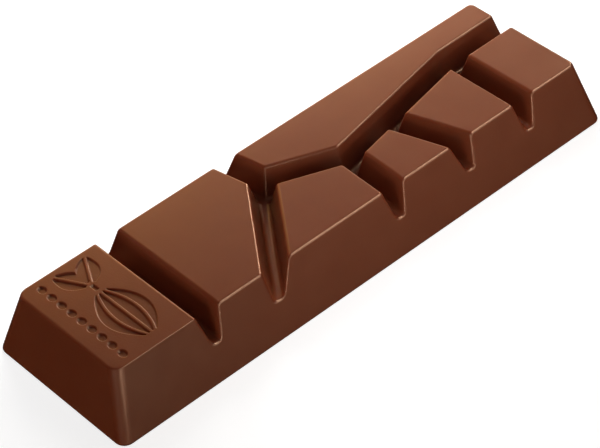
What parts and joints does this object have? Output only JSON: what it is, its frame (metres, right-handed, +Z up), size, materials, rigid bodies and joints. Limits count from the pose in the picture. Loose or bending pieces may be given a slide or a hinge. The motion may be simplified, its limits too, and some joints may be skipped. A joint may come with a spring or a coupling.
{
  "type": "chocolate bar",
  "caption": "Small moulded milk chocolate bar with sloping sides, cut by deep grooves into uneven slanted blocks, with a shallow pod and leaf picture on the end block.",
  "frame": {"origin": "middle of the flat back, on the surface that the bar lies on", "axes": "+X along the bar from the block with the picture to the far end, +Y across it to the side with the one long block, +Z up from the flat back to the blocks"},
  "size_m": [0.115, 0.0344, 0.0132],
  "materials": {
    "chocolate": "milk chocolate set in a polished mould: warm brown, opaque, a soft low gloss, faintly mottled, with a fine grain round the picture"
  },
  "bodies": {
    "root": {"bar": "chocolate"}
  },
  "joints": []
}
